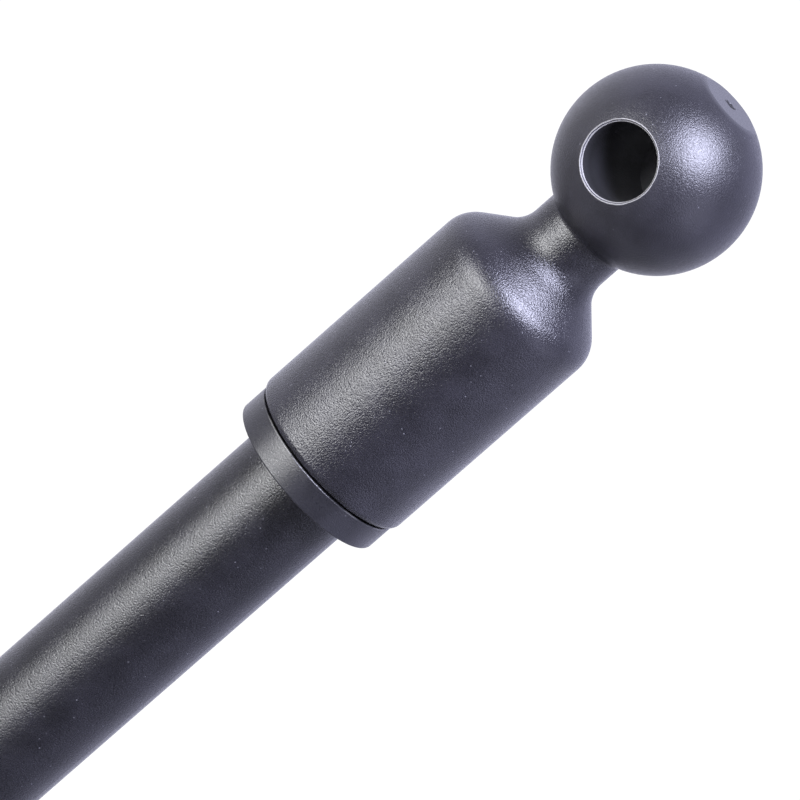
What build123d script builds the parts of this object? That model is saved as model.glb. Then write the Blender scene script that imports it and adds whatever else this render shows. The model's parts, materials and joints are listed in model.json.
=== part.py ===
from build123d import *
from math import radians, sqrt, tan
import os

# Gas strut stay with a ball eye screwed onto each end.
#
# The strut hangs along Z: the tube end is at the top and the rod comes out
# of the bottom. The origin is the centre of the tube end's ball, and the
# blind cross bore in each ball runs along Y and opens towards -Y. Pushing
# the rod up into the tube closes the stay. All sizes are in millimetres.

# ---- main sizes ----
stroke = 80.0               # travel of the rod
rod_showing_closed = 6.0    # rod left between tube and lock nut when closed
tube_d = 15.2               # a 15 mm tube and its coat
tube_wall = 1.25
rod_d = 6.0

# ---- ball eyes, alike at both ends ----
ball_d = 23.5
eye_bore_d = 8.9
eye_bore_past_centre = 6.0  # full bore beyond the ball centre, before the drilled tip
eye_bore_chamfer = 0.25
tip_flat_d = 7.4
tip_mark_d = 1.3
tip_mark_depth = 0.6
neck_d = 11.0
neck_fillet = 0.6
shoulder_start = 15.1       # ball centre to the corner where the shoulder leaves the neck
shoulder_angle = 47.5       # slope of the shoulder against the axis
shoulder_rounding = 4.0
sleeve_d = tube_d + 6.7      # leaves the same socket wall for any tube
drill_angle = 59.0          # half angle of the drilled hole ends

# ---- tube end: socket, stud and collar ----
tube_sleeve_end = 50.2      # ball centre to the mouth of the sleeve
tube_sleeve_rounding = 0.9
socket_floor = 28.0
socket_mouth_d = tube_d + 2.8
socket_mouth_depth = 3.0
stud_d = 8.0
stud_length = 9.0
stud_hole_depth = 10.5
stud_chamfer = 0.8
collar_d = sleeve_d - 0.8
collar_thickness = 3.4
collar_rounding = 0.18
collar_edge = 0.15
collar_spigot_length = 2.6
collar_gap = 0.15           # open line between sleeve and collar

# ---- rod end: sleeve, lock nut and spring washer ----
rod_sleeve_end = 42.1
rod_sleeve_rounding = 0.9
rod_thread_length = 15.0
rod_hole_depth = 16.5
lock_nut_flats = 10.0
lock_nut_height = 3.2
spring_washer_d = 10.6
spring_washer_thickness = 1.6
spring_washer_split = 0.7

# ---- rolled tube ----
bead_depth = 0.8
bead_half_length = 1.5
bead_rounding = 1.2
lip_rounding = 1.4
lip_bore_d = 10.2
bead_reach = 1.75           # from the middle of a bead to the piece it holds

# ---- base plug ----
plug_length = 8.0
plug_hub_d = 9.8
ring_groove_length = 2.3
ring_groove_depth = 1.4

# ---- guide and seals ----
support_washer_thickness = 1.2
support_hole_d = 1.2
seal_length = 5.0
seal_notch_depth = 2.0
seal_notch_width = 1.0
guide_length = 10.0
liner_wall = 0.6
wiper_length = 3.0
wiper_d = 9.4
front_washer_thickness = 1.5

# ---- piston ----
stub_d = 4.0
rod_end_chamfer = 0.4
stub_past_nut = 0.5
piston_nut_flats = 7.0
piston_nut_height = 3.2
piston_washer_thickness = 0.8
end_washer_d = 8.6
back_washer_d = 11.0
valve_notch = 1.6
piston_length = 5.0
piston_groove_length = 2.2
piston_groove_depth = 1.4
piston_ring_split = 0.4
bumper_length = 4.0
bumper_d = 10.4

# ---- clearances ----
socket_clearance = 0.10     # tube in the socket of its eye, each side
spigot_clearance = 0.10     # collar spigot in the sleeve mouth, each side
thread_clearance = 0.04     # screwed pairs, each side
press_clearance = 0.03      # pieces held firmly in one another, each side
washer_clearance = 0.30     # rod in the plain washers, each side
rod_running = 0.05          # rod in its seals and bearing, each side
piston_clearance = 0.15     # piston in the tube, each side
ring_running = 0.05         # piston ring in the tube and on its groove, each side
ring_side_clearance = 0.10  # piston ring in its groove, each end
stop_clearance = 0.30       # bumper to support washer with the rod right out
closed_clearance = 1.0      # rod tip to base plug with the rod right in
floor_clearance = 0.3       # tube end to socket floor

# ---- radii that follow ----
tube_r = tube_d / 2
tube_bore_r = tube_r - tube_wall
wall_middle_r = tube_r - tube_wall / 2
rod_r = rod_d / 2
inner_r = tube_bore_r - press_clearance
piston_r = tube_bore_r - piston_clearance
ring_outer_r = tube_bore_r - ring_running
ring_root_r = piston_r - piston_groove_depth
washer_bore_r = rod_r + washer_clearance
seal_bore_r = rod_r + rod_running
liner_outer_r = seal_bore_r + liner_wall

# ---- heights that follow, each a distance below the origin ----
tube_top = socket_floor + floor_clearance
plug_top = tube_top + tube_wall
plug_bottom = plug_top + plug_length
base_bead = plug_bottom + bead_reach
stub_top = plug_bottom + closed_clearance + stroke
nut_top = stub_top + stub_past_nut
end_washer_top = nut_top + piston_nut_height
piston_top = end_washer_top + piston_washer_thickness
back_washer_top = piston_top + piston_length
bumper_top = back_washer_top + piston_washer_thickness
bumper_bottom = bumper_top + bumper_length
support_top = bumper_bottom + stop_clearance
guide_bead = support_top - bead_reach
seal_top = support_top + support_washer_thickness
guide_top = seal_top + seal_length
front_washer_top = guide_top + guide_length
wiper_top = front_washer_top - wiper_length
lip_face = front_washer_top + front_washer_thickness
tube_bottom = lip_face + tube_wall
lock_nut_top = tube_bottom + stroke + rod_showing_closed
spring_washer_top = lock_nut_top + lock_nut_height
rod_sleeve_top = spring_washer_top + spring_washer_thickness
rod_bottom = rod_sleeve_top + rod_thread_length
eye_distance = rod_sleeve_top + rod_sleeve_end

# A section plane has its first axis across the strut. The second points up
# for every piece but the rod's ball eye, which is turned over.
upright = Plane.XZ
turned_over = Plane(origin=(0, 0, -eye_distance), x_dir=(1, 0, 0), z_dir=(0, 1, 0))


def ball_eye(section, sleeve_end, rounding, inside):
    """A ball with a blind cross bore, a neck, a curved shoulder and a hollow sleeve.

    The points of inside run from the sleeve mouth to the end of the screw
    hole, each a radius and a distance from the ball centre.
    """
    ball_r = ball_d / 2
    neck_r = neck_d / 2
    sleeve_r = sleeve_d / 2
    flat_r = tip_flat_d / 2
    flat_y = sqrt(ball_r**2 - flat_r**2)
    fillet_x = neck_r + neck_fillet
    fillet_y = -sqrt((ball_r + neck_fillet) ** 2 - fillet_x**2)
    share = ball_r / (ball_r + neck_fillet)
    ball_end = (fillet_x * share, fillet_y * share)
    neck_top = (neck_r, fillet_y)
    shoulder_end = shoulder_start + (sleeve_r - neck_r) / tan(radians(shoulder_angle))
    mouth = (inside[0][0], -inside[0][1])
    hole_r = inside[-1][0]
    hole_top = -inside[-1][1]
    hole_tip = hole_top + hole_r / tan(radians(drill_angle))
    bore_r = eye_bore_d / 2
    rim_r = bore_r + eye_bore_chamfer
    rim_y = sqrt(ball_r**2 - rim_r**2)
    with BuildPart() as eye:
        with BuildSketch(section):
            with BuildLine():
                Line((0, flat_y), (flat_r, flat_y))
                ThreePointArc((flat_r, flat_y), (ball_r, 0), ball_end)
                TangentArc(neck_top, ball_end, tangent=(0, 1))
                FilletPolyline(
                    neck_top,
                    (neck_r, -shoulder_start),
                    (sleeve_r, -shoulder_end),
                    (sleeve_r, -sleeve_end),
                    mouth,
                    radius=[shoulder_rounding, shoulder_rounding, rounding],
                )
                Polyline([(x, -y) for x, y in inside] + [(0, hole_tip), (0, flat_y)])
            make_face()
        revolve(axis=Axis.Z)
        # blind cross bore, countersunk a little at its mouth
        with BuildSketch(Plane(origin=section.origin, x_dir=(1, 0, 0), z_dir=(0, 0, 1))):
            with BuildLine():
                Polyline(
                    (0, -ball_r),
                    (rim_r + ball_r - rim_y, -ball_r),
                    (bore_r, eye_bore_chamfer - rim_y),
                    (bore_r, eye_bore_past_centre),
                    (0, eye_bore_past_centre + bore_r / tan(radians(drill_angle))),
                    close=True,
                )
            make_face()
        revolve(axis=Axis(section.origin, (0, 1, 0)), mode=Mode.SUBTRACT)
        # turning centre in the flat of the tip
        with BuildSketch(section):
            with BuildLine():
                Polyline(
                    (0, flat_y),
                    (tip_mark_d / 2, flat_y),
                    (0, flat_y - tip_mark_depth),
                    close=True,
                )
            make_face()
        revolve(axis=Axis.Z, mode=Mode.SUBTRACT)
    return eye


def turned(points):
    """A ring or disc: points are radii and distances below the origin."""
    with BuildPart() as ring:
        with BuildSketch(upright):
            with BuildLine():
                Polyline([(x, -y) for x, y in points], close=True)
            make_face()
        revolve(axis=Axis.Z)
    return ring


def sleeve_points(inner, outer, top, bottom):
    """The section of a plain ring."""
    return [(inner, top), (outer, top), (outer, bottom), (inner, bottom)]


# ---- tube end fitting ----
socket_r = tube_r + socket_clearance
stud_hole_r = stud_d / 2 + thread_clearance
tube_ball_eye = ball_eye(
    upright,
    tube_sleeve_end,
    tube_sleeve_rounding,
    [
        (socket_mouth_d / 2, tube_sleeve_end),
        (socket_mouth_d / 2, tube_sleeve_end - socket_mouth_depth),
        (socket_r, tube_sleeve_end - socket_mouth_depth),
        (socket_r, socket_floor),
        (stud_hole_r, socket_floor),
        (stud_hole_r, socket_floor - stud_hole_depth),
    ],
)

collar_top = tube_sleeve_end + collar_gap
collar_bottom = collar_top + collar_thickness
collar_bore_r = tube_r + press_clearance
spigot_r = socket_mouth_d / 2 - spigot_clearance
with BuildPart() as tube_end_collar:
    with BuildSketch(upright):
        with BuildLine():
            FilletPolyline(
                (collar_bore_r, -collar_bottom),
                (collar_d / 2, -collar_bottom),
                (collar_d / 2, -collar_top),
                (spigot_r, -collar_top),
                radius=[collar_rounding, collar_edge],
            )
            Polyline(
                (spigot_r, -collar_top),
                (spigot_r, -collar_top + collar_spigot_length),
                (collar_bore_r, -collar_top + collar_spigot_length),
                (collar_bore_r, -collar_bottom),
            )
        make_face()
    revolve(axis=Axis.Z)

# ---- pressure tube: one wall thickness, rolled in at both ends and at two beads ----
lip_start_r = lip_bore_d / 2
wall_points = [(lip_start_r, tube_top + tube_wall / 2), (wall_middle_r, tube_top + tube_wall / 2)]
wall_roundings = [lip_rounding]
for bead in (base_bead, guide_bead):
    wall_points.append((wall_middle_r, bead - bead_half_length))
    wall_points.append((wall_middle_r - bead_depth, bead))
    wall_points.append((wall_middle_r, bead + bead_half_length))
    wall_roundings += [bead_rounding] * 3
wall_points.append((wall_middle_r, tube_bottom - tube_wall / 2))
wall_points.append((lip_start_r, tube_bottom - tube_wall / 2))
wall_roundings.append(lip_rounding)

with BuildPart() as pressure_tube:
    with BuildSketch(upright):
        with BuildLine():
            FilletPolyline([(x, -y) for x, y in wall_points], radius=wall_roundings)
        trace(line_width=tube_wall)
    revolve(axis=Axis.Z)

# ---- base plug with its screw stud ----
groove_middle = (plug_top + plug_bottom) / 2
groove_top = groove_middle - ring_groove_length / 2
groove_bottom = groove_middle + ring_groove_length / 2
groove_r = inner_r - ring_groove_depth
hub_r = plug_hub_d / 2
hub_top = tube_top + 0.1
stud_r = stud_d / 2
stud_top = socket_floor - stud_length
shoulder_clear_r = tube_bore_r - lip_rounding
base_plug = turned(
    [
        (0, stud_top),
        (stud_r - stud_chamfer, stud_top),
        (stud_r, stud_top + stud_chamfer),
        (stud_r, hub_top),
        (hub_r, hub_top),
        (hub_r, plug_top),
        (shoulder_clear_r, plug_top),
        (inner_r, plug_top + lip_rounding),
        (inner_r, groove_top),
        (groove_r, groove_top),
        (groove_r, groove_bottom),
        (inner_r, groove_bottom),
        (inner_r, plug_bottom),
        (0, plug_bottom),
    ]
)


def o_ring(root, middle, length):
    """A sealing ring squeezed between a groove and the tube."""
    ring_inner = root + press_clearance
    ring_width = inner_r - ring_inner
    with BuildPart() as ring:
        with BuildSketch(upright):
            with Locations((ring_inner + ring_width / 2, -middle)):
                RectangleRounded(ring_width, length - 2 * ring_side_clearance, ring_width * 0.4)
        revolve(axis=Axis.Z)
    return ring


base_plug_o_ring = o_ring(groove_r, groove_middle, ring_groove_length)

# ---- guide stack, held between the lower bead and the rolled lip ----
with BuildPart() as guide_support_washer:
    with BuildSketch(Plane.XY.offset(-support_top)):
        Circle(inner_r)
        Circle(washer_bore_r, mode=Mode.SUBTRACT)
        with PolarLocations((inner_r + washer_bore_r) / 2, 6):
            Circle(support_hole_d / 2, mode=Mode.SUBTRACT)
    extrude(amount=-support_washer_thickness)

seal_middle_r = (inner_r + seal_bore_r) / 2
rod_lip_seal = turned(
    [
        (seal_bore_r, seal_top),
        (seal_middle_r - seal_notch_width / 2, seal_top),
        (seal_middle_r, seal_top + seal_notch_depth),
        (seal_middle_r + seal_notch_width / 2, seal_top),
        (inner_r, seal_top),
        (inner_r, guide_top),
        (seal_bore_r, guide_top),
    ]
)

guide_groove_middle = (guide_top + wiper_top) / 2
guide_bore_r = liner_outer_r + press_clearance
guide_bush_groove_r = inner_r - ring_groove_depth
wiper_seat_r = wiper_d / 2 + press_clearance
rod_guide_bush = turned(
    [
        (guide_bore_r, guide_top),
        (inner_r, guide_top),
        (inner_r, guide_groove_middle - ring_groove_length / 2),
        (guide_bush_groove_r, guide_groove_middle - ring_groove_length / 2),
        (guide_bush_groove_r, guide_groove_middle + ring_groove_length / 2),
        (inner_r, guide_groove_middle + ring_groove_length / 2),
        (inner_r, front_washer_top),
        (wiper_seat_r, front_washer_top),
        (wiper_seat_r, wiper_top),
        (guide_bore_r, wiper_top),
    ]
)

guide_o_ring = o_ring(guide_bush_groove_r, guide_groove_middle, ring_groove_length)

guide_bearing_liner = turned(sleeve_points(seal_bore_r, liner_outer_r, guide_top, wiper_top))

wiper_lip_r = (seal_bore_r + wiper_d / 2) / 2
rod_wiper = turned(
    [
        (seal_bore_r, wiper_top + wiper_length / 3),
        (wiper_lip_r, wiper_top),
        (wiper_d / 2, wiper_top),
        (wiper_d / 2, front_washer_top),
        (seal_bore_r, front_washer_top),
    ]
)

front_corner = lip_rounding - tube_wall / 2
front_end_washer = turned(
    [
        (washer_bore_r, front_washer_top),
        (inner_r, front_washer_top),
        (inner_r, lip_face - front_corner),
        (inner_r - front_corner, lip_face),
        (washer_bore_r, lip_face),
    ]
)

# ---- rod and piston ----
stub_r = stub_d / 2
stub_hole_r = stub_r + press_clearance
piston_rod = turned(
    [
        (0, stub_top),
        (stub_r - rod_end_chamfer, stub_top),
        (stub_r, stub_top + rod_end_chamfer),
        (stub_r, bumper_top),
        (rod_r, bumper_top),
        (rod_r, rod_bottom - rod_end_chamfer),
        (rod_r - rod_end_chamfer, rod_bottom),
        (0, rod_bottom),
    ]
)


def hex_nut(flats, hole, top, height):
    """A plain hexagon nut with both faces chamfered at the corners."""
    corner = flats / sqrt(3)
    with BuildPart() as nut:
        with BuildSketch(Plane.XY.offset(-top)):
            RegularPolygon(corner, 6)
            Circle(hole, mode=Mode.SUBTRACT)
        extrude(amount=-height)
        # both faces are turned to a cone that only reaches the corners
        rise = (corner - flats / 2) * tan(radians(30))
        with BuildSketch(upright):
            with BuildLine():
                Polyline(
                    (0, -top),
                    (flats / 2, -top),
                    (corner, -top - rise),
                    (corner, -top - height + rise),
                    (flats / 2, -top - height),
                    (0, -top - height),
                    close=True,
                )
            make_face()
        revolve(axis=Axis.Z, mode=Mode.INTERSECT)
    return nut


piston_nut = hex_nut(piston_nut_flats, stub_hole_r, nut_top, piston_nut_height)


def valve_washer(diameter, top):
    """A piston washer with three notches in its rim that let gas past."""
    with BuildPart() as washer:
        with BuildSketch(Plane.XY.offset(-top)):
            Circle(diameter / 2)
            Circle(stub_hole_r, mode=Mode.SUBTRACT)
            with PolarLocations(diameter / 2, 3):
                Circle(valve_notch / 2, mode=Mode.SUBTRACT)
        extrude(amount=-piston_washer_thickness)
    return washer


piston_end_washer = valve_washer(end_washer_d, end_washer_top)
piston_back_washer = valve_washer(back_washer_d, back_washer_top)

piston_middle = (piston_top + back_washer_top) / 2
piston_groove_top = piston_middle - piston_groove_length / 2
piston_groove_bottom = piston_middle + piston_groove_length / 2
piston_body = turned(
    [
        (stub_hole_r, piston_top),
        (piston_r, piston_top),
        (piston_r, piston_groove_top),
        (ring_root_r, piston_groove_top),
        (ring_root_r, piston_groove_bottom),
        (piston_r, piston_groove_bottom),
        (piston_r, back_washer_top),
        (stub_hole_r, back_washer_top),
    ]
)

with BuildPart() as piston_ring:
    with BuildSketch(Plane.XY.offset(-piston_groove_top - ring_side_clearance)):
        Circle(ring_outer_r)
        Circle(ring_root_r + ring_running, mode=Mode.SUBTRACT)
        with Locations((ring_outer_r, 0)):
            Rectangle(ring_outer_r, piston_ring_split, mode=Mode.SUBTRACT)
    extrude(amount=-(piston_groove_length - 2 * ring_side_clearance))

stop_bumper = turned(
    sleeve_points(rod_r + press_clearance, bumper_d / 2, bumper_top, bumper_bottom)
)

# ---- rod end fitting ----
rod_hole_r = rod_r + thread_clearance
rod_lock_nut = hex_nut(lock_nut_flats, rod_hole_r, lock_nut_top, lock_nut_height)

with BuildPart() as rod_spring_washer:
    with BuildSketch(Plane.XY.offset(-spring_washer_top)):
        Circle(spring_washer_d / 2)
        Circle(rod_hole_r, mode=Mode.SUBTRACT)
        with Locations((0, spring_washer_d / 2)):
            Rectangle(spring_washer_split, spring_washer_d, mode=Mode.SUBTRACT)
    extrude(amount=-spring_washer_thickness)

rod_ball_eye = ball_eye(
    turned_over,
    rod_sleeve_end,
    rod_sleeve_rounding,
    [
        (rod_hole_r, rod_sleeve_end),
        (rod_hole_r, rod_sleeve_end - rod_hole_depth),
    ],
)

os.makedirs("parts", exist_ok=True)
pieces = {
    "tube_ball_eye": tube_ball_eye,
    "tube_end_collar": tube_end_collar,
    "pressure_tube": pressure_tube,
    "base_plug": base_plug,
    "base_plug_o_ring": base_plug_o_ring,
    "guide_support_washer": guide_support_washer,
    "rod_lip_seal": rod_lip_seal,
    "rod_guide_bush": rod_guide_bush,
    "guide_o_ring": guide_o_ring,
    "guide_bearing_liner": guide_bearing_liner,
    "rod_wiper": rod_wiper,
    "front_end_washer": front_end_washer,
    "piston_ring": piston_ring,
    "piston_rod": piston_rod,
    "piston_nut": piston_nut,
    "piston_end_washer": piston_end_washer,
    "piston_body": piston_body,
    "piston_back_washer": piston_back_washer,
    "stop_bumper": stop_bumper,
    "rod_lock_nut": rod_lock_nut,
    "rod_spring_washer": rod_spring_washer,
    "rod_ball_eye": rod_ball_eye,
}
for name, piece in pieces.items():
    piece.part.label = name
    export_step(piece.part, f"parts/{name}.step")

print("eye to eye, open", round(eye_distance, 3), "closed", round(eye_distance - stroke, 3))
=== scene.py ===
import json
import math

import bpy
from mathutils import Matrix, Vector


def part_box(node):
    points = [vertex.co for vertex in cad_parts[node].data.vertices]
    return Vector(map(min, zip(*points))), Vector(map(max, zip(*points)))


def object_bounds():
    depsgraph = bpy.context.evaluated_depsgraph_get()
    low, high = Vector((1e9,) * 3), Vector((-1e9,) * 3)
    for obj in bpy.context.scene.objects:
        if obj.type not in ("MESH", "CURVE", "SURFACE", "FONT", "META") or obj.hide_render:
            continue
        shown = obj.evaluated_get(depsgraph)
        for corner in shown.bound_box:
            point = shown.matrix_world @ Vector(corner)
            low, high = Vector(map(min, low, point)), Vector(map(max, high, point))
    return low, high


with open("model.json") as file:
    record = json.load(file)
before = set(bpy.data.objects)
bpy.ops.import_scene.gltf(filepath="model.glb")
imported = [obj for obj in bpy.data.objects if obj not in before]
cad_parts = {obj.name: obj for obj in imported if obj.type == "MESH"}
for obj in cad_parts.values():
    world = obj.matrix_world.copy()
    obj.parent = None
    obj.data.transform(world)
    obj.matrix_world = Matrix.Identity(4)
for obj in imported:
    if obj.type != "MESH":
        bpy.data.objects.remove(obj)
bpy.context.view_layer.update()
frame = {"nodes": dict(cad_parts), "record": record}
scene = bpy.context.scene
nodes = frame["nodes"]
mounts = {mount["name"]: mount for mount in frame["record"]["mounts"]}

# Places of the colour sockets on a Mix node, which has a set for each kind of value.
MIX_COLOUR_A = 6
MIX_COLOUR_B = 7
MIX_COLOUR_OUT = 2


# ---------------------------------------------------------------- materials
class Nodes:
    """Short names for building a material's node tree. Sizes are in metres."""

    def __init__(self, name):
        self.material = bpy.data.materials.new(name)
        self.material.use_nodes = True
        self.tree = self.material.node_tree
        self.shader = self.tree.nodes["Principled BSDF"]
        self.place = self.add("ShaderNodeTexCoord").outputs["Object"]

    def add(self, kind, **settings):
        node = self.tree.nodes.new(kind)
        for key, value in settings.items():
            setattr(node, key, value)
        return node

    def link(self, output, socket):
        self.tree.links.new(output, socket)

    def feed(self, socket, value):
        """Link another node's output to a socket, or set the socket to a number or a colour."""
        if hasattr(value, "links"):
            self.link(value, socket)
        elif isinstance(value, tuple):
            socket.default_value = (*value, 1.0)
        else:
            socket.default_value = value

    def noise(self, size, detail=2.0, rough=0.5, stretch=None):
        """Noise whose features are about size across."""
        node = self.add("ShaderNodeTexNoise")
        node.inputs["Scale"].default_value = 1.0 / size
        node.inputs["Detail"].default_value = detail
        node.inputs["Roughness"].default_value = rough
        if stretch:
            mapping = self.add("ShaderNodeMapping")
            mapping.inputs["Scale"].default_value = stretch
            self.link(self.place, mapping.inputs["Vector"])
            self.link(mapping.outputs["Vector"], node.inputs["Vector"])
        else:
            self.link(self.place, node.inputs["Vector"])
        return node.outputs["Fac"]

    def spread(self, value, low, high, start, end):
        """Map start..end to low..high, and hold it there past either end."""
        node = self.add("ShaderNodeMapRange")
        node.inputs["From Min"].default_value = start
        node.inputs["From Max"].default_value = end
        node.inputs["To Min"].default_value = low
        node.inputs["To Max"].default_value = high
        self.link(value, node.inputs["Value"])
        return node.outputs["Result"]

    def swing(self, noise, low, high):
        """Map noise to low..high. Most noise lies between 0.3 and 0.7."""
        return self.spread(noise, low, high, 0.3, 0.7)

    def mask(self, noise, start, end):
        """0 where noise is below start, 1 where it is above end, and soft between them."""
        return self.spread(noise, 0.0, 1.0, start, end)

    def mix(self, amount, a, b):
        """Colour a where amount is 0, and colour b where it is 1."""
        node = self.add("ShaderNodeMix", data_type="RGBA")
        self.feed(node.inputs["Factor"], amount)
        self.feed(node.inputs[MIX_COLOUR_A], a)
        self.feed(node.inputs[MIX_COLOUR_B], b)
        return node.outputs[MIX_COLOUR_OUT]

    def math(self, operation, a, b=None):
        node = self.add("ShaderNodeMath", operation=operation)
        self.feed(node.inputs[0], a)
        if b is not None:
            self.feed(node.inputs[1], b)
        return node.outputs["Value"]

    def plus(self, a, b):
        return self.math("ADD", a, b)

    def times(self, a, b):
        return self.math("MULTIPLY", a, b)

    def larger(self, a, b):
        return self.math("MAXIMUM", a, b)

    def below(self, value, limit):
        """1 where value is below limit, and 0 elsewhere."""
        return self.math("LESS_THAN", value, limit)

    def near(self, value, target, margin):
        """1 where value is within margin of target, and 0 elsewhere."""
        return self.below(self.math("ABSOLUTE", self.math("SUBTRACT", value, target)), margin)

    def between(self, value, start, end):
        """1 where value is between start and end, and 0 elsewhere."""
        return self.near(value, (start + end) / 2, (end - start) / 2)

    def split(self, vector):
        node = self.add("ShaderNodeSeparateXYZ")
        self.link(vector, node.inputs["Vector"])
        return node.outputs["X"], node.outputs["Y"], node.outputs["Z"]

    def length(self, a, b):
        """Length of the vector whose two parts are a and b."""
        squares = self.plus(self.math("POWER", a, 2.0), self.math("POWER", b, 2.0))
        return self.math("SQRT", squares)

    def bump(self, height, strength, depth):
        node = self.add("ShaderNodeBump")
        node.inputs["Strength"].default_value = strength
        node.inputs["Distance"].default_value = depth
        self.link(height, node.inputs["Height"])
        return node.outputs["Normal"]

    def finish(self, colour, roughness, normal, metallic=0.0):
        """Hand these to the shader, and return the finished material."""
        self.feed(self.shader.inputs["Base Color"], colour)
        self.feed(self.shader.inputs["Roughness"], roughness)
        self.feed(self.shader.inputs["Normal"], normal)
        self.shader.inputs["Metallic"].default_value = metallic
        return self.material


def scaled(colour, amount):
    return tuple(amount * part for part in colour)


def powder(name, black, grain, rough):
    """Begin a black powder coat: tiny rounded grains that glint, a mottled tone and pale specks.

    Returns the coat's nodes, colour, roughness and height, for the coats below to add to.
    """
    fine_size = 0.45  # of the fine grains, against the coarse ones
    fine_height = 0.35
    mottle_size = 0.004
    darkest = 0.8  # of the mottled tone, against black
    palest = 1.25
    speck_spacing = 0.0009
    speck_cluster = 0.0016
    speck_grey = (0.085, 0.085, 0.095)
    n = Nodes(name)
    coarse = n.noise(grain, detail=1.0, rough=0.55)
    fine = n.noise(fine_size * grain, detail=1.0)
    height = n.plus(coarse, n.times(fine, fine_height))
    roughness = n.swing(coarse, rough - 0.06, rough + 0.10)
    mottled = n.mask(n.noise(mottle_size, detail=3.0), 0.35, 0.65)
    colour = n.mix(mottled, scaled(black, darkest), scaled(black, palest))
    cells = n.add("ShaderNodeTexVoronoi", feature="F1")
    cells.inputs["Scale"].default_value = 1.0 / speck_spacing
    n.link(n.place, cells.inputs["Vector"])
    speck = n.spread(cells.outputs["Distance"], 1.0, 0.0, 0.05, 0.11)
    chosen = n.mask(n.noise(speck_cluster, detail=0.0), 0.52, 0.62)
    colour = n.mix(n.times(speck, chosen), colour, speck_grey)
    return n, colour, roughness, height


def tube_coat():
    """Plain powder coat."""
    n, colour, roughness, height = powder("tube_coat", (0.0070, 0.0068, 0.0087), 0.00020, 0.28)
    return n.finish(colour, roughness, n.bump(height, 1.0, 0.000046))


def collar_coat():
    """Powder coat with a pale painted highlight here and there along the ring's corner next to the
    sleeve.
    """
    corner_below_spigot = 0.00265  # from the top of the ring's spigot down to its corner
    radius_margin = 0.00012
    height_margin = 0.00008
    patch_size = 0.0045
    pale_edge_grey = (0.085, 0.083, 0.082)
    n, colour, roughness, height = powder("collar_coat", (0.0100, 0.0098, 0.0122), 0.00018, 0.33)
    x, y, z = n.split(n.place)
    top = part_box("tube_end_collar")[1]
    round_edge = n.near(n.length(x, y), top.x, radius_margin)
    corner = n.times(round_edge, n.near(z, top.z - corner_below_spigot, height_margin))
    highlight_patches = n.spread(n.noise(patch_size), 0.15, 1.0, 0.42, 0.58)
    # Painted highlight: pale grey in patches along the ring's corner, where its rounded edge catches
    # the light.
    colour = n.mix(n.times(corner, highlight_patches), colour, pale_edge_grey)
    return n.finish(colour, roughness, n.bump(height, 1.0, 0.000024))


# The bore of each ball eye runs along Y through the ball's centre and opens towards -Y.
BORE_RADIUS = mounts["tube_eye_bore"]["dims"]["r_mm"] / 1000
BORE_CHAMFER = 0.00025
BORE_MOUTH = -0.01046  # just behind the chamfer's inner edge
BORE_END = 0.0095  # just past the drilled tip
# Heights from the ball's centre towards its tip. The tube's ball has its centre at the origin.
NECK_END = -0.0115
BALL_START = -0.0095
TIP_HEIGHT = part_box("tube_ball_eye")[1].z


def bore_masks(n, x, y, rise):
    """Three masks: pale lines along both edges of the bore's chamfer, the inside of the bore, and the
    mouth.
    """
    waver = 0.00003
    waver_size = 0.0011
    outer_edge = BORE_RADIUS + BORE_CHAMFER
    outer_line = 0.00007  # each line reaches this far to either side of its middle
    inner_edge = BORE_RADIUS + 0.00002
    inner_line = 0.00006
    wall_margin = 0.00005
    mouth_margin = 0.00006
    from_axis = n.plus(n.length(x, rise), n.swing(n.noise(waver_size), -waver, waver))
    lines = n.larger(
        n.near(from_axis, outer_edge, outer_line),
        n.near(from_axis, inner_edge, inner_line),
    )
    pale_lines = n.times(lines, n.below(y, BORE_MOUTH))
    within = n.below(from_axis, BORE_RADIUS + wall_margin)
    inside = n.times(within, n.between(y, BORE_MOUTH, BORE_END))
    ring = n.between(from_axis, BORE_RADIUS - mouth_margin, outer_edge + mouth_margin)
    mouth = n.times(ring, n.below(y, 0.0))
    return pale_lines, inside, mouth


def tip_masks(n, x, y, out):
    """Two masks: the flat tip of the ball, and the ragged patch over the turning mark's pit in its
    middle, which carries painted shade.
    """
    fade_start = TIP_HEIGHT - 0.00022
    fade_end = TIP_HEIGHT - 0.00002
    mark_floor = TIP_HEIGHT - 0.0008
    mark_radius = 0.00062
    ragged = 0.0004
    ragged_size = 0.0006
    tip = n.spread(out, 0.0, 1.0, fade_start, fade_end)
    uneven = n.swing(n.noise(ragged_size, detail=3.0), -ragged, ragged)
    in_mark = n.below(n.plus(n.length(x, y), uneven), mark_radius)
    mark = n.times(in_mark, n.math("GREATER_THAN", out, mark_floor))
    return tip, mark


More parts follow.
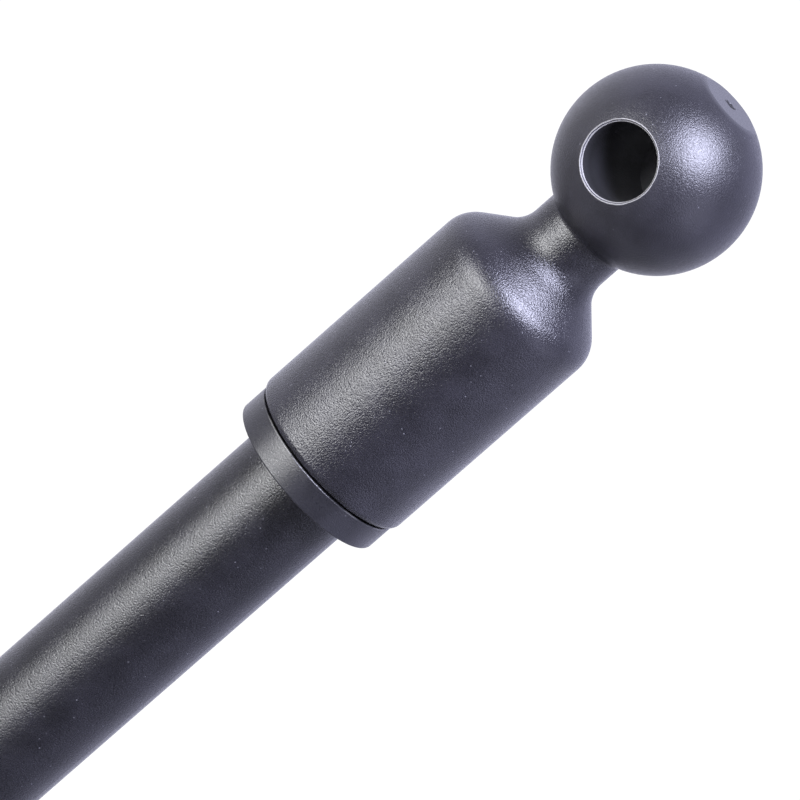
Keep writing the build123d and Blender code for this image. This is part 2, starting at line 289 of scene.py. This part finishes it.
def ball_eye_coat(name, centre, points):
    """Powder coat for the ball eye round centre, whose tip points up (1.0) or down (-1.0).

    The ball is smoother than the neck and sleeve, and a little less glossy. Inside its bore, painted
    shade darkens the wall near the mouth and painted light makes it paler further in, and both edges
    of the mouth's chamfer carry a pale line. The flat tip is smoother still and paler, with a ragged
    dark patch of painted shade over the turning mark's pit in its middle.
    """
    bore_mouth_painted_shade = (0.005, 0.005, 0.006)
    bore_depth_painted_light = (0.12, 0.12, 0.13)
    tip_grey = (0.028, 0.028, 0.031)
    mark_painted_shade = (0.006, 0.006, 0.007)
    pale_edge_grey = (0.15, 0.147, 0.145)
    mouth_rough = 0.5
    bore_rough = 0.6
    mark_rough = 0.9
    ball_dulling = 0.09  # added to its roughness
    ball_grain = 0.62  # share of the grain's height that it keeps
    tip_flattening = 0.8  # share of that height that the tip loses
    n, colour, roughness, height = powder(name, (0.0103, 0.0099, 0.0128), 0.00018, 0.245)
    x, y, z = n.split(n.place)
    rise = n.math("SUBTRACT", z, centre[2])
    out = n.times(rise, points)
    pale_lines, inside, mouth = bore_masks(n, x, y, rise)
    tip, mark = tip_masks(n, x, y, out)

    # Painted light and shade inside the bore: darker near the mouth, where the light reaches in, and
    # paler deep in, where shade falls.
    bore_painted_light_ramp = n.spread(y, 0.0, 1.0, 0.8 * BORE_MOUTH, 0.0)
    colour = n.mix(inside, colour, n.mix(bore_painted_light_ramp, bore_mouth_painted_shade, bore_depth_painted_light))
    colour = n.mix(tip, colour, tip_grey)
    # Painted shade: a ragged dark patch over the turning mark's pit.
    colour = n.mix(mark, colour, mark_painted_shade)
    colour = n.mix(pale_lines, colour, pale_edge_grey)

    dull = n.larger(n.times(mouth, mouth_rough), n.times(inside, bore_rough))
    roughness = n.larger(roughness, dull)
    roughness = n.plus(roughness, n.spread(out, 0.0, ball_dulling, NECK_END, BALL_START))
    roughness = n.larger(roughness, n.times(mark, mark_rough))

    height = n.times(height, n.spread(out, 1.0, ball_grain, NECK_END, BALL_START))
    height = n.times(height, n.math("SUBTRACT", 1.0, n.times(tip, tip_flattening)))
    return n.finish(colour, roughness, n.bump(height, 1.0, 0.000060))


def turned_metal(name, colour, rough, pitch=0.00012, stained=0.78, depth=0.000006, uneven=0.08):
    """Bare metal with the fine rings that a lathe leaves, pitch apart.

    Stained is how bright its darker clouds are, and uneven is how far its roughness strays.
    """
    n = Nodes(name)
    rings = n.noise(pitch, stretch=(0.02, 0.02, 1.0))
    cloudy = n.mask(n.noise(0.003, detail=3.0), 0.35, 0.7)
    tone = n.mix(cloudy, colour, scaled(colour, stained))
    roughness = n.swing(rings, rough - uneven, rough + uneven)
    return n.finish(tone, roughness, n.bump(rings, 0.5, depth), metallic=1.0)


def moulded(name, colour, rough, grain=0.0004, depth=0.00001):
    """Rubber, plastic or smooth paint with a faint skin."""
    n = Nodes(name)
    skin = n.noise(grain, detail=3.0)
    cloudy = n.mask(n.noise(0.005), 0.35, 0.65)
    lighter = tuple(min(1.0, 1.35 * part + 0.004) for part in colour)
    tone = n.mix(cloudy, colour, lighter)
    roughness = n.swing(skin, rough - 0.06, rough + 0.06)
    return n.finish(tone, roughness, n.bump(skin, 0.6, depth))


# Chrome is polished, so its rings are too shallow to see.
chrome_finish = {"pitch": 0.002, "stained": 0.93, "depth": 0.0000005, "uneven": 0.02}
materials = {
    "tube_coat": tube_coat(),
    "collar_coat": collar_coat(),
    "nut_coat": moulded("nut_coat", (0.03, 0.03, 0.033), 0.35),
    "plain_steel": turned_metal("plain_steel", (0.56, 0.56, 0.57), 0.32),
    "rod_chrome": turned_metal("rod_chrome", (0.55, 0.55, 0.56), 0.24, **chrome_finish),
    "guide_alloy": turned_metal("guide_alloy", (0.66, 0.67, 0.69), 0.35),
    "bearing_bronze": turned_metal("bearing_bronze", (0.62, 0.44, 0.22), 0.35),
    "seal_rubber": moulded("seal_rubber", (0.018, 0.018, 0.019), 0.5),
    "bumper_rubber": moulded("bumper_rubber", (0.045, 0.04, 0.03), 0.55),
    "ring_plastic": moulded("ring_plastic", (0.75, 0.74, 0.70), 0.35),
}

# The centre of each ball, and the way its tip points.
eyes = {
    "tube_ball_eye": (mounts["tube_eye_bore"]["pos_m"], 1.0),
    "rod_ball_eye": (mounts["rod_eye_bore"]["pos_m"], -1.0),
}
for part in frame["record"]["subparts"]:
    name = part["node"]
    slots = nodes[name].data.materials
    slots.clear()
    if name in eyes:
        slots.append(ball_eye_coat(name + "_coat", *eyes[name]))
    else:
        slots.append(materials[part["material_slot"]])

# ---------------------------------------------------------------- camera
# It looks at the sleeve from a long way off, with the strut leaning across the picture.
azimuth = math.radians(18.38)
elevation = math.radians(16.47)
roll = math.radians(48.77)
camera_distance = 0.9
aim = Vector((0.00315, -0.0081, -0.03717))
back = Vector((
    math.sin(azimuth) * math.cos(elevation),
    -math.cos(azimuth) * math.cos(elevation),
    math.sin(elevation),
))
level = Vector((math.cos(azimuth), math.sin(azimuth), 0.0))
right = level * math.cos(roll) + back.cross(level) * math.sin(roll)
up = back.cross(right)
turn = Matrix((right, up, back)).transposed().to_4x4()

lens = bpy.data.cameras.new("camera")
lens.sensor_width = 36.0
lens.lens = 365.3
lens.clip_start = 0.1
lens.clip_end = 200.0
camera = bpy.data.objects.new("camera", lens)
camera.matrix_world = Matrix.Translation(aim + back * camera_distance) @ turn
scene.collection.objects.link(camera)
scene.camera = camera

# ---------------------------------------------------------------- light
LIGHT_DISTANCE = 0.8


def softbox(name, direction, width, height, power, colour):
    """An area light facing the sleeve; direction is right, up and towards the camera."""
    data = bpy.data.lights.new(name, "AREA")
    data.shape = "RECTANGLE"
    data.size = width
    data.size_y = height
    data.energy = power
    data.color = colour
    light = bpy.data.objects.new(name, data)
    way = (right * direction[0] + up * direction[1] + back * direction[2]).normalized()
    across = Vector((0.0, 0.0, 1.0)).cross(way).normalized()
    turned = Matrix((across, way.cross(across), way)).transposed().to_4x4()
    light.matrix_world = Matrix.Translation(aim + way * LIGHT_DISTANCE) @ turned
    scene.collection.objects.link(light)


# The left light is nearly neutral. The other two are cooler, and the card only lifts the lower right.
softbox("left_softbox", (-0.59, 0.36, 0.70), 0.58, 0.62, 18.0, (0.98, 0.985, 1.0))
softbox("right_softbox", (0.70, 0.32, 0.64), 0.54, 0.54, 32.5, (0.75, 0.765, 1.0))
softbox("fill_card", (0.60, -0.68, 0.42), 0.50, 0.50, 1.7, (0.75, 0.755, 1.0))

# ---------------------------------------------------------------- room
ROOM_STRENGTH = 1.25
BACKDROP_STRENGTH = 1.05


def shaded_by(tree, way, stops):
    """Colours for a world, from straight away from way (0) round to straight along it (1)."""
    direction = tree.nodes.new("ShaderNodeTexCoord")
    facing = tree.nodes.new("ShaderNodeVectorMath")
    facing.operation = "DOT_PRODUCT"
    facing.inputs[1].default_value = way
    tree.links.new(direction.outputs["Generated"], facing.inputs[0])
    half_way = tree.nodes.new("ShaderNodeMapRange")
    half_way.inputs["From Min"].default_value = -1.0
    tree.links.new(facing.outputs["Value"], half_way.inputs["Value"])
    shades = tree.nodes.new("ShaderNodeValToRGB")
    elements = shades.color_ramp.elements
    while len(elements) < len(stops):
        elements.new(0.5)
    for element, (position, colour) in zip(elements, stops):
        element.position = position
        element.color = (*colour, 1.0)
    tree.links.new(half_way.outputs["Result"], shades.inputs["Fac"])
    return shades.outputs["Color"]


# A white room: darker where the photographer stands and low on the left, cooler on the right.
beyond_to_behind = (
    (0.00, 1.40),
    (0.30, 1.15),
    (0.44, 0.76),
    (0.55, 0.50),
    (0.66, 0.28),
    (0.80, 0.10),
    (1.00, 0.05),
)
left_to_right = ((0.20, (0.80, 0.80, 0.92)), (0.80, (0.53, 0.535, 0.745)))
towards_low_left = ((0.56, (1.0, 1.0, 1.0)), (0.80, (0.35, 0.35, 0.35)))
low_left = -(0.8 * right + 0.6 * up)

world = bpy.data.worlds.new("studio")
scene.world = world
world.use_nodes = True
tree = world.node_tree
tree.nodes.clear()
shades = (
    shaded_by(tree, back, [(place, (grey,) * 3) for place, grey in beyond_to_behind]),
    shaded_by(tree, right, left_to_right),
    shaded_by(tree, low_left, towards_low_left),
)
tone = shades[0]
for shade in shades[1:]:
    product = tree.nodes.new("ShaderNodeMix")
    product.data_type = "RGBA"
    product.blend_type = "MULTIPLY"
    product.inputs["Factor"].default_value = 1.0
    tree.links.new(tone, product.inputs[MIX_COLOUR_A])
    tree.links.new(shade, product.inputs[MIX_COLOUR_B])
    tone = product.outputs[MIX_COLOUR_OUT]
room = tree.nodes.new("ShaderNodeBackground")
room.inputs["Strength"].default_value = ROOM_STRENGTH
tree.links.new(tone, room.inputs["Color"])

# The camera itself sees plain white behind the strut, and everything else sees the room.
backdrop = tree.nodes.new("ShaderNodeBackground")
backdrop.inputs["Strength"].default_value = BACKDROP_STRENGTH
backdrop.inputs["Color"].default_value = (1.0, 1.0, 1.0, 1.0)
seen = tree.nodes.new("ShaderNodeLightPath")
blend = tree.nodes.new("ShaderNodeMixShader")
tree.links.new(seen.outputs["Is Camera Ray"], blend.inputs[0])
tree.links.new(room.outputs[0], blend.inputs[1])
tree.links.new(backdrop.outputs[0], blend.inputs[2])
output = tree.nodes.new("ShaderNodeOutputWorld")
tree.links.new(blend.outputs[0], output.inputs["Surface"])

# ---------------------------------------------------------------- floor
FLOOR_RADIUS = 0.5
FLOOR_GAP = 0.02
FLOOR_SIDES = 128
floor_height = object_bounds()[0][2] - FLOOR_GAP
around = [2 * math.pi * k / FLOOR_SIDES for k in range(FLOOR_SIDES)]
rim = [(FLOOR_RADIUS * math.cos(t), FLOOR_RADIUS * math.sin(t), floor_height) for t in around]
disc = bpy.data.meshes.new("floor")
disc.from_pydata(rim, [], [range(FLOOR_SIDES)])
floor = bpy.data.objects.new("floor", disc)
scene.collection.objects.link(floor)
pale = bpy.data.materials.new("pale_floor")
pale.use_nodes = True
matt = pale.node_tree.nodes["Principled BSDF"]
matt.inputs["Base Color"].default_value = (0.88, 0.88, 0.89, 1.0)
matt.inputs["Roughness"].default_value = 0.9
disc.materials.append(pale)
floor.visible_glossy = False

scene.view_settings.view_transform = "Standard"
